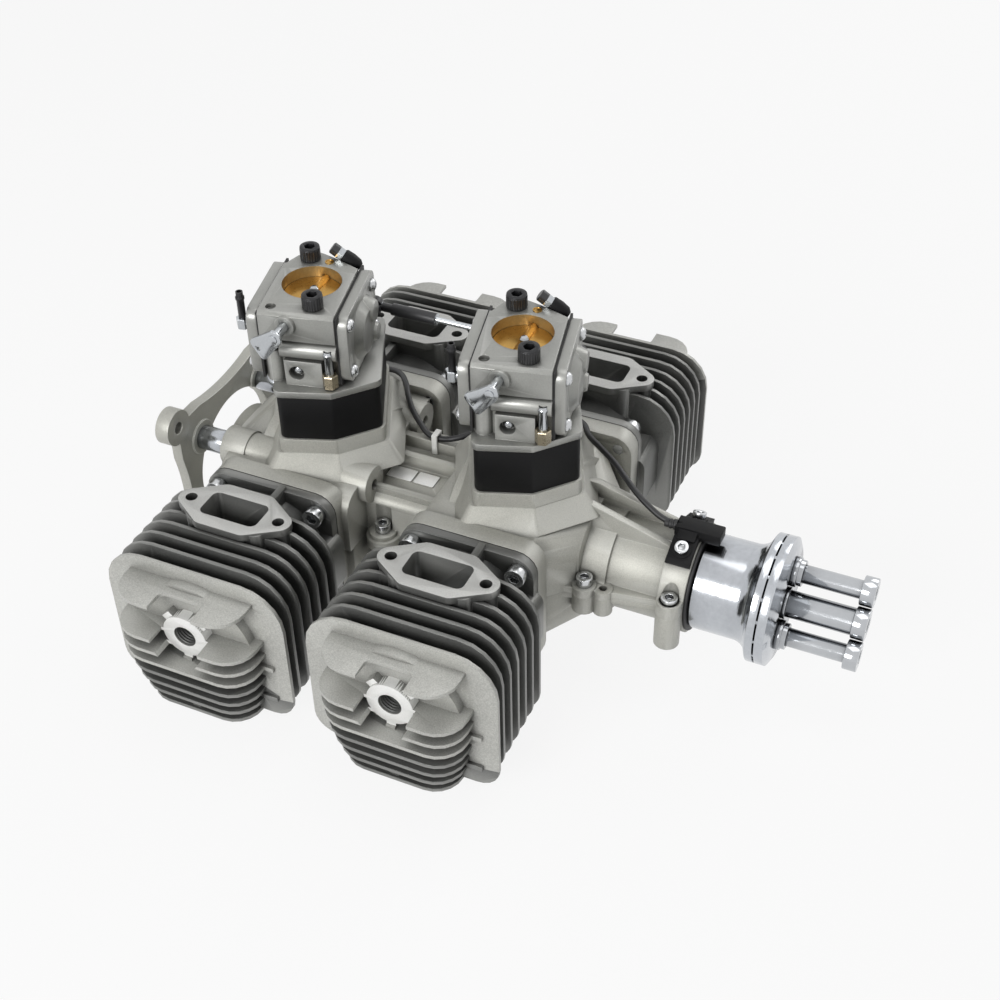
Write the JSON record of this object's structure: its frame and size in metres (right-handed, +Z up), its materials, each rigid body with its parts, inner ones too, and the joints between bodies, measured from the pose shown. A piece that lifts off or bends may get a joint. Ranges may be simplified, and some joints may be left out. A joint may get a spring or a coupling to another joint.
{
  "type": "model aircraft engine",
  "caption": "Horizontally opposed two-stroke model aircraft engine with finned cylinders, carburettors, a firewall bracket and a bolted propeller hub.",
  "frame": {"origin": "centre of the four firewall bolts at the rear face of the bracket, on the crankshaft axis", "axes": "+X along the crankshaft to the propeller, +Z up through the carburettors, -Y the near bank of cylinders"},
  "size_m": [0.3026, 0.2568, 0.1573],
  "materials": {
    "cast_case": "sandblasted cast aluminium",
    "cast_cylinder": "blasted cast aluminium, fin edges bright",
    "zinc_screws": "zinc plated",
    "bearing_steel": "ground",
    "seal_rubber": "matt moulded",
    "forged_steel": "forged and machined",
    "ground_steel": "ground",
    "piston_alloy": "machined",
    "ring_iron": "ground",
    "gasket_black": "matt",
    "black_plastic": "moulded, fine grain",
    "carb_zinc": "die cast, grey",
    "black_screws": "black oxide",
    "brass_plate": "rolled brass",
    "black_lever": "moulded and blackened",
    "hub_alloy": "turned and polished",
    "chromed_bolts": "bright plated",
    "magnet_nickel": "nickel plated",
    "lead_black": "soft sheath",
    "tie_white": "nylon"
  },
  "bodies": {
    "engine": {"crankcase_upper": "cast_case", "crankcase_lower": "cast_case", "case_screws": "zinc_screws", "bearing_outer_rings": "bearing_steel", "shaft_seal": "seal_rubber", "cylinder_nr": "cast_cylinder", "cylinder_nf": "cast_cylinder", "cylinder_fr": "cast_cylinder", "cylinder_ff": "cast_cylinder", "gaskets": "gasket_black", "cylinder_screws": "zinc_screws", "reed_blocks": "black_plastic", "insulator_blocks": "black_plastic", "carb_body_rear": "carb_zinc", "carb_body_front": "carb_zinc", "carb_covers": "carb_zinc", "carb_screws": "black_screws", "cover_screw_set": "zinc_screws", "fuel_nipples": "brass_plate", "sensor_holder": "black_plastic", "sensor_lead": "lead_black", "lead_tie": "tie_white", "lead_connector": "black_plastic", "rear_bracket": "cast_case", "standoffs": "hub_alloy", "mount_bolts": "black_screws"},
    "crank": {"crankshaft": "forged_steel", "bearing_inner_rings": "bearing_steel", "prop_hub": "hub_alloy", "prop_washer": "hub_alloy", "prop_bolts": "chromed_bolts", "prop_bolt_washers": "chromed_bolts", "timing_magnet": "magnet_nickel"},
    "piston_nf": {"piston_nf": "piston_alloy", "rings_nf": "ring_iron", "gudgeon_nf": "ground_steel"},
    "rod_nf": {"rod_nf": "forged_steel", "crankpin_nf": "ground_steel"},
    "piston_ff": {"piston_ff": "piston_alloy", "rings_ff": "ring_iron", "gudgeon_ff": "ground_steel"},
    "rod_ff": {"rod_ff": "forged_steel", "crankpin_ff": "ground_steel"},
    "piston_nr": {"piston_nr": "piston_alloy", "rings_nr": "ring_iron", "gudgeon_nr": "ground_steel"},
    "rod_nr": {"rod_nr": "forged_steel", "crankpin_nr": "ground_steel"},
    "piston_fr": {"piston_fr": "piston_alloy", "rings_fr": "ring_iron", "gudgeon_fr": "ground_steel"},
    "rod_fr": {"rod_fr": "forged_steel", "crankpin_fr": "ground_steel"},
    "choke_rear": {"choke_rear": "brass_plate"},
    "choke_front": {"choke_front": "brass_plate"},
    "throttle_rear": {"throttle_rear": "black_lever"},
    "throttle_front": {"throttle_front": "black_lever"},
    "throttle_link": {"throttle_link": "black_lever"}
  },
  "joints": [
    {"name": "crankshaft_spin", "type": "hinge", "parent": "engine", "child": "crank", "pos_m": [0, 0, 0], "axis": [1, 0, 0], "continuous": true},
    {"name": "piston_nf_slide", "type": "slide", "parent": "engine", "child": "piston_nf", "axis": [0, 1, 0], "range_m": [0, 0.035]},
    {"name": "rod_nf_swing", "type": "hinge", "parent": "piston_nf", "child": "rod_nf", "pos_m": [0.1475, -0.0795, 0], "axis": [1, 0, 0], "range_deg": [-16, 16]},
    {"name": "piston_ff_slide", "type": "slide", "parent": "engine", "child": "piston_ff", "axis": [0, -1, 0], "range_m": [0, 0.035]},
    {"name": "rod_ff_swing", "type": "hinge", "parent": "piston_ff", "child": "rod_ff", "pos_m": [0.1557, 0.0795, 0], "axis": [1, 0, 0], "range_deg": [-16, 16]},
    {"name": "piston_nr_slide", "type": "slide", "parent": "engine", "child": "piston_nr", "axis": [0, -1, 0], "range_m": [0, 0.035]},
    {"name": "rod_nr_swing", "type": "hinge", "parent": "piston_nr", "child": "rod_nr", "pos_m": [0.0555, -0.0445, 0], "axis": [1, 0, 0], "range_deg": [-16, 16]},
    {"name": "piston_fr_slide", "type": "slide", "parent": "engine", "child": "piston_fr", "axis": [0, 1, 0], "range_m": [0, 0.035]},
    {"name": "rod_fr_swing", "type": "hinge", "parent": "piston_fr", "child": "rod_fr", "pos_m": [0.0637, 0.0445, 0], "axis": [1, 0, 0], "range_deg": [-16, 16]},
    {"name": "choke_rear_turn", "type": "hinge", "parent": "engine", "child": "choke_rear", "pos_m": [0.056, 0, 0.0971], "axis": [-0.0523, 0.9986, 0], "range_deg": [0, 88]},
    {"name": "choke_front_turn", "type": "hinge", "parent": "engine", "child": "choke_front", "pos_m": [0.1511, 0, 0.0971], "axis": [-0.0523, 0.9986, 0], "range_deg": [0, 88]},
    {"name": "throttle_rear_turn", "type": "hinge", "parent": "engine", "child": "throttle_rear", "pos_m": [0.056, 0, 0.0735], "axis": [0.225, -0.9744, 0], "range_deg": [0, 76]},
    {"name": "throttle_front_turn", "type": "hinge", "parent": "engine", "child": "throttle_front", "pos_m": [0.1511, 0, 0.0735], "axis": [0.225, -0.9744, 0], "range_deg": [0, 76]},
    {"name": "throttle_link_pivot", "type": "hinge", "parent": "throttle_rear", "child": "throttle_link", "pos_m": [0.06751, 0.03016, 0.0765], "axis": [0.225, -0.9744, 0], "range_deg": [-76, 0]}
  ],
  "couplings": [
    {"joint": "piston_ff_slide", "follows": "piston_nf_slide", "ratio": 1},
    {"joint": "piston_nr_slide", "follows": "piston_nf_slide", "ratio": 1},
    {"joint": "piston_fr_slide", "follows": "piston_nf_slide", "ratio": 1},
    {"joint": "throttle_front_turn", "follows": "throttle_rear_turn", "ratio": 1},
    {"joint": "throttle_link_pivot", "follows": "throttle_rear_turn", "ratio": -1}
  ]
}
